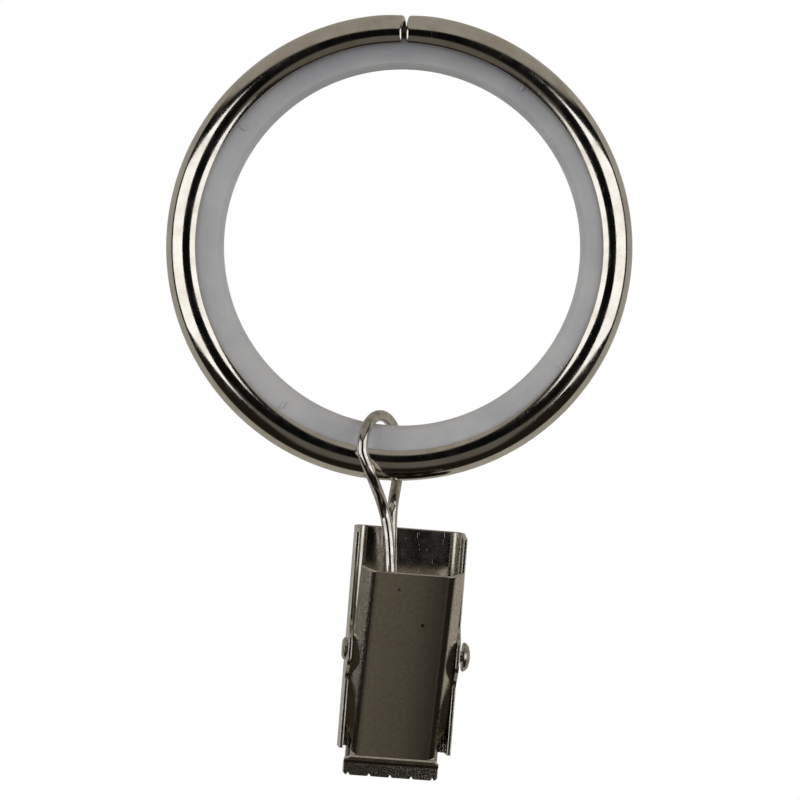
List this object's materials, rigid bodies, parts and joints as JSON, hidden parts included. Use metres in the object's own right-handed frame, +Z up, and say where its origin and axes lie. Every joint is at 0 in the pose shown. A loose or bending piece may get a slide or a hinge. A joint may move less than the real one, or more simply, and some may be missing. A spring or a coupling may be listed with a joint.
{
  "type": "curtain ring with clip",
  "caption": "Nickel-plated curtain ring lined with white nylon, carrying a wire link and a hanging spring clip.",
  "frame": {"origin": "centre of the metal ring, at mid width", "axes": "+Y along the ring's axis (along the pole), +Z up, the clip hangs towards -Z and its lever side faces -Y"},
  "size_m": [0.0524, 0.0107, 0.0864],
  "materials": {
    "bright_nickel": "polished",
    "white_nylon": "moulded",
    "nickel_wire": "drawn and plated",
    "nickel_sheet": "pressed and plated",
    "nickel_rivet": "plated",
    "spring_steel": "bare"
  },
  "bodies": {
    "ring": {"ring_shell": "bright_nickel", "liner": "white_nylon"},
    "link": {"wire_link": "nickel_wire"},
    "clip": {"back_jaw": "nickel_sheet", "rivet": "nickel_rivet", "torsion_spring": "spring_steel"},
    "lever": {"front_jaw": "nickel_sheet"}
  },
  "joints": [
    {"name": "link_swing", "type": "hinge", "parent": "ring", "child": "link", "pos_m": [-0.00217, 0, -0.0228], "axis": [0.9866, 0, -0.1633], "range_deg": [-60, 60]},
    {"name": "clip_swing", "type": "hinge", "parent": "link", "child": "clip", "pos_m": [0.00038, 0, -0.0455], "axis": [0.993, 0.0869, -0.0802], "range_deg": [-7.5, 8]},
    {"name": "jaw_open", "type": "hinge", "parent": "clip", "child": "lever", "pos_m": [0.00038, 0, -0.0455], "axis": [-0.993, -0.0869, 0.0802], "range_deg": [0, 15], "stiffness_Nm_per_rad": 0.1, "springref_deg": -14.32, "deforming": ["torsion_spring"]}
  ]
}
